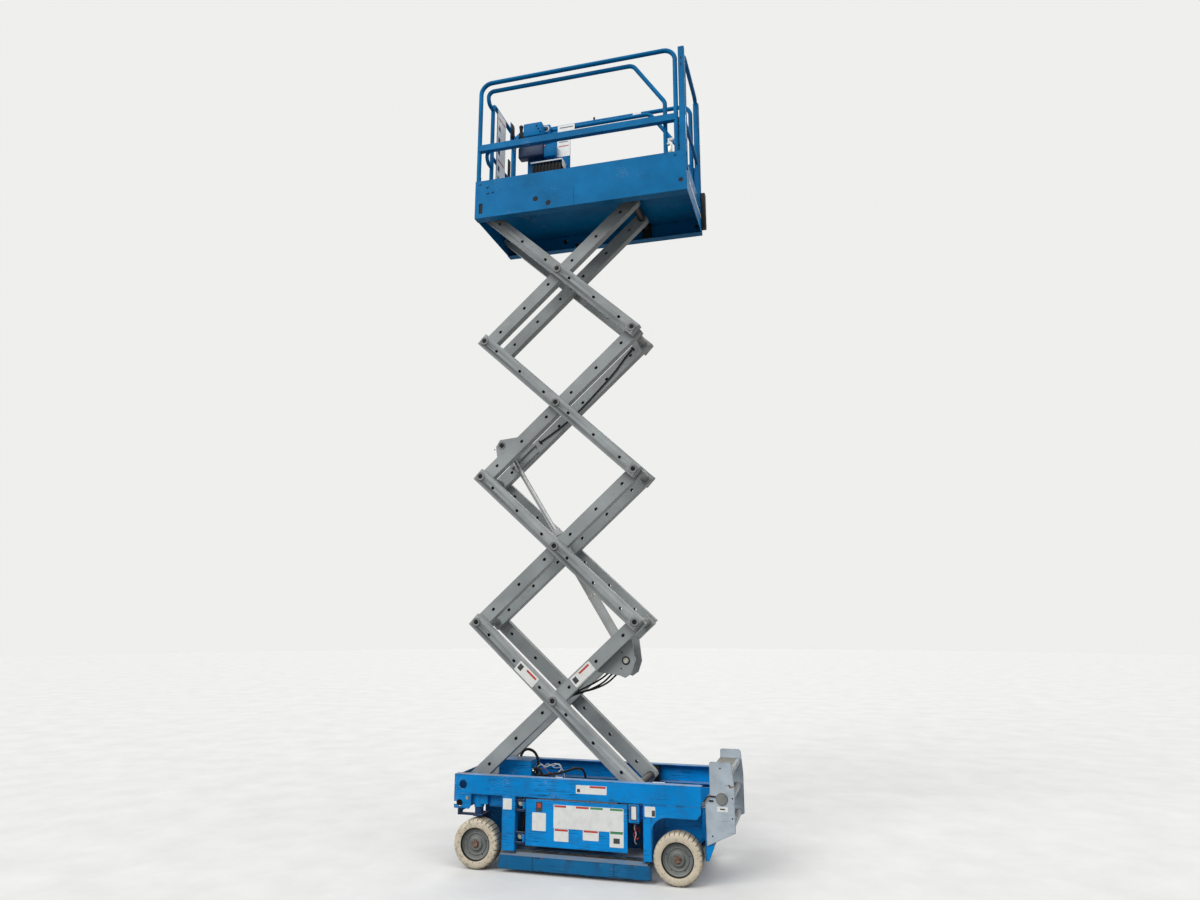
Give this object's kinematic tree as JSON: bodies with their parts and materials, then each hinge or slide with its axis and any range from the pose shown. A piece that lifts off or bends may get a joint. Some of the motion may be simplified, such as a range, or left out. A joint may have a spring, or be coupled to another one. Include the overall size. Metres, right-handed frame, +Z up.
{
  "type": "self-propelled scissor lift",
  "caption": "Raised electric scissor lift: wheeled chassis with swing-out trays, stacked crossing arms, lift cylinder and a railed platform with a roll-out extension.",
  "frame": {"origin": "on the floor, under the middle of the overall length and width", "axes": "+X to the steered front end, +Y to the machine's left, +Z up"},
  "size_m": [1.83, 0.76, 5.7358],
  "materials": {
    "chassis_blue": "scuffed gloss paint",
    "platform_blue": "gloss paint",
    "ladder_grey": "gloss paint",
    "arm_grey": "satin paint",
    "pin_steel": "oiled steel",
    "rod_chrome": "polished",
    "battery_plastic": "matt",
    "hydraulic_steel": "satin paint",
    "axle_steel": "dusty paint",
    "cream_tyre": "matt",
    "rim_grey": "dusty paint"
  },
  "bodies": {
    "root": {"side_rails": "chassis_blue", "end_plates": "chassis_blue", "rear_skirts": "chassis_blue", "columns": "chassis_blue", "tray_hinges": "chassis_blue", "guard_hinges": "chassis_blue", "front_beam": "chassis_blue", "cross_plates": "chassis_blue", "belly": "chassis_blue", "rear_axle": "axle_steel", "ladder": "ladder_grey", "ladder_brackets": "chassis_blue", "base_brackets": "chassis_blue", "valve_block": "chassis_blue", "switch_box": "chassis_blue"},
    "inner_1": {"inner_arms_1": "arm_grey", "pins_1": "pin_steel", "cylinder_base_lugs": "arm_grey"},
    "outer_1": {"outer_arms_1": "arm_grey"},
    "inner_2": {"inner_arms_2": "arm_grey", "pins_2": "pin_steel"},
    "outer_2": {"outer_arms_2": "arm_grey"},
    "inner_3": {"inner_arms_3": "arm_grey", "pins_3": "pin_steel", "cylinder_eye_lugs": "arm_grey"},
    "outer_3": {"outer_arms_3": "arm_grey"},
    "inner_4": {"inner_arms_4": "arm_grey", "pins_4": "pin_steel"},
    "outer_4": {"outer_arms_4": "arm_grey"},
    "upper_slide": {"upper_shoes": "arm_grey"},
    "lower_slide": {"lower_shoes": "arm_grey"},
    "barrel": {"cylinder_barrel": "arm_grey"},
    "rod": {"cylinder_rod": "rod_chrome"},
    "platform": {"deck": "platform_blue", "side_panels": "platform_blue", "guard_rails": "platform_blue", "rear_posts": "platform_blue"},
    "gate": {"gate": "platform_blue"},
    "extension": {"extension_deck": "platform_blue", "extension_rails": "platform_blue", "extension_front": "platform_blue", "control_box": "platform_blue"},
    "tray_left": {"tray_left": "chassis_blue", "battery_block": "battery_plastic"},
    "tray_right": {"tray_right": "chassis_blue", "hydraulic_block": "hydraulic_steel"},
    "guard_left": {"pothole_guard_left": "chassis_blue"},
    "guard_right": {"pothole_guard_right": "chassis_blue"},
    "knuckle_left": {"knuckle_left": "axle_steel"},
    "knuckle_right": {"knuckle_right": "axle_steel"},
    "tie_rod": {"tie_rod": "axle_steel"},
    "wheel_front_left": {"tyre_front_left": "cream_tyre", "rim_front_left": "rim_grey"},
    "wheel_front_right": {"tyre_front_right": "cream_tyre", "rim_front_right": "rim_grey"},
    "wheel_rear_left": {"tyre_rear_left": "cream_tyre", "rim_rear_left": "rim_grey"},
    "wheel_rear_right": {"tyre_rear_right": "cream_tyre", "rim_rear_right": "rim_grey"}
  },
  "joints": [
    {"name": "lift", "type": "hinge", "parent": "root", "child": "inner_1", "pos_m": [0.854, 0, 0.523], "axis": [0, 1, 0], "range_deg": [-38.42, 16.03]},
    {"name": "cross_1", "type": "hinge", "parent": "inner_1", "child": "outer_1", "pos_m": [0.28717, 0, 1.03823], "axis": [0, 1, 0], "range_deg": [-32.26, 77.04]},
    {"name": "front_1", "type": "hinge", "parent": "outer_1", "child": "inner_2", "pos_m": [0.854, 0, 1.55346], "axis": [0, 1, 0], "range_deg": [-77.04, 32.26]},
    {"name": "cross_2", "type": "hinge", "parent": "inner_2", "child": "outer_2", "pos_m": [0.28717, 0, 2.06869], "axis": [0, 1, 0], "range_deg": [-32.26, 77.04]},
    {"name": "front_2", "type": "hinge", "parent": "outer_2", "child": "inner_3", "pos_m": [0.854, 0, 2.58392], "axis": [0, 1, 0], "range_deg": [-77.04, 32.26]},
    {"name": "cross_3", "type": "hinge", "parent": "inner_3", "child": "outer_3", "pos_m": [0.28717, 0, 3.09915], "axis": [0, 1, 0], "range_deg": [-32.26, 77.04]},
    {"name": "front_3", "type": "hinge", "parent": "outer_3", "child": "inner_4", "pos_m": [0.854, 0, 3.61438], "axis": [0, 1, 0], "range_deg": [-77.04, 32.26]},
    {"name": "cross_4", "type": "hinge", "parent": "inner_4", "child": "outer_4", "pos_m": [0.28717, 0, 4.12962], "axis": [0, 1, 0], "range_deg": [-32.26, 77.04]},
    {"name": "level", "type": "hinge", "parent": "outer_4", "child": "platform", "pos_m": [0.854, 0, 4.64485], "axis": [0, 1, 0], "range_deg": [-38.62, 16.23]},
    {"name": "upper_shoe", "type": "hinge", "parent": "inner_4", "child": "upper_slide", "pos_m": [-0.27965, 0, 4.64485], "axis": [0, 1, 0], "range_deg": [-16.23, 38.62]},
    {"name": "lower_shoe", "type": "hinge", "parent": "outer_1", "child": "lower_slide", "pos_m": [-0.27965, 0, 0.523], "axis": [0, 1, 0], "range_deg": [-38.62, 16.23]},
    {"name": "cylinder_turn", "type": "hinge", "parent": "inner_1", "child": "barrel", "pos_m": [-0.18614, 0, 1.29953], "axis": [0, 1, 0], "range_deg": [-32.54, 77.71]},
    {"name": "cylinder_extend", "type": "slide", "parent": "barrel", "child": "rod", "axis": [0.5211, 0, 0.8535], "range_m": [-0.6783, 0.2859]},
    {"name": "extension_roll", "type": "slide", "parent": "platform", "child": "extension", "axis": [1, 0, 0], "range_m": [0, 0.91]},
    {"name": "gate", "type": "hinge", "parent": "platform", "child": "gate", "pos_m": [-0.7035, -0.29, 5.2], "axis": [0, 0, 1], "range_deg": [-78, 0]},
    {"name": "tray_left", "type": "hinge", "parent": "root", "child": "tray_left", "pos_m": [0.429, 0.364, 0.3], "axis": [0, 0, 1], "range_deg": [-90, 0]},
    {"name": "guard_left", "type": "hinge", "parent": "root", "child": "guard_left", "pos_m": [0.2, 0.351, 0.115], "axis": [1, 0, 0], "range_deg": [-90, 0]},
    {"name": "tray_right", "type": "hinge", "parent": "root", "child": "tray_right", "pos_m": [0.429, -0.364, 0.3], "axis": [0, 0, 1], "range_deg": [0, 90]},
    {"name": "guard_right", "type": "hinge", "parent": "root", "child": "guard_right", "pos_m": [0.2, -0.351, 0.115], "axis": [1, 0, 0], "range_deg": [0, 90]},
    {"name": "steer", "type": "hinge", "parent": "root", "child": "knuckle_left", "pos_m": [0.759, 0.323, 0.35], "axis": [0, 0, 1], "range_deg": [-65, 65]},
    {"name": "steer_right", "type": "hinge", "parent": "root", "child": "knuckle_right", "pos_m": [0.759, -0.323, 0.35], "axis": [0, 0, 1], "range_deg": [-65.2, 65.2]},
    {"name": "tie", "type": "hinge", "parent": "knuckle_left", "child": "tie_rod", "pos_m": [0.894, 0.323, 0.345], "axis": [0, 0, 1], "range_deg": [-65.2, 65.2]},
    {"name": "wheel_front_left", "type": "hinge", "parent": "knuckle_left", "child": "wheel_front_left", "pos_m": [0.759, 0.323, 0.1525], "axis": [0, 1, 0], "continuous": true},
    {"name": "wheel_rear_left", "type": "hinge", "parent": "root", "child": "wheel_rear_left", "pos_m": [-0.561, 0.323, 0.1525], "axis": [0, 1, 0], "continuous": true},
    {"name": "wheel_front_right", "type": "hinge", "parent": "knuckle_right", "child": "wheel_front_right", "pos_m": [0.759, -0.323, 0.1525], "axis": [0, 1, 0], "continuous": true},
    {"name": "wheel_rear_right", "type": "hinge", "parent": "root", "child": "wheel_rear_right", "pos_m": [-0.561, -0.323, 0.1525], "axis": [0, 1, 0], "continuous": true}
  ],
  "couplings": [
    {"joint": "cross_1", "follows": "lift", "ratio": -2},
    {"joint": "front_1", "follows": "lift", "ratio": 2},
    {"joint": "cross_2", "follows": "lift", "ratio": -2},
    {"joint": "front_2", "follows": "lift", "ratio": 2},
    {"joint": "cross_3", "follows": "lift", "ratio": -2},
    {"joint": "front_3", "follows": "lift", "ratio": 2},
    {"joint": "cross_4", "follows": "lift", "ratio": -2},
    {"joint": "level", "follows": "lift", "ratio": 1},
    {"joint": "upper_shoe", "follows": "lift", "ratio": -1},
    {"joint": "lower_shoe", "follows": "lift", "ratio": 1},
    {"joint": "cylinder_turn", "follows": "lift", "ratio": -2.0174},
    {"joint": "cylinder_extend", "follows": "lift", "m_per_rad": 1.0041},
    {"joint": "steer_right", "follows": "steer", "ratio": 1},
    {"joint": "tie", "follows": "steer", "ratio": -1}
  ]
}
